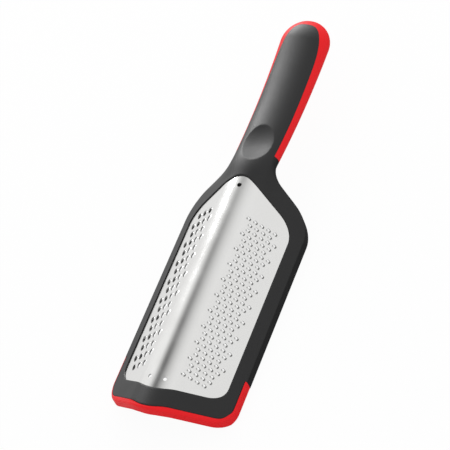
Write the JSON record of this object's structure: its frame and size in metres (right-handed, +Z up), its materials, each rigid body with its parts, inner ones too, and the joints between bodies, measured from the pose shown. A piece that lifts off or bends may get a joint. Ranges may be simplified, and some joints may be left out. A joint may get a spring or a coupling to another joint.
{
  "type": "rasp zester",
  "caption": "V-roof rasp zester with coarse and fine toothed faces, a plastic frame with a soft foot bumper and an oval handle with a thumb rest.",
  "frame": {"origin": "middle of the plane on which the side walls' undersides stand", "axes": "+Y from the foot to the handle's end, +X towards the fine-toothed face, +Z up"},
  "size_m": [0.0856, 0.3049, 0.0417],
  "materials": {
    "steel": "satin",
    "black_plastic": "fine matt texture",
    "red_rubber": "satin"
  },
  "bodies": {
    "root": {"grater_plate": "steel", "frame": "black_plastic", "foot_bumper": "red_rubber", "handle_grip": "red_rubber"}
  },
  "joints": []
}
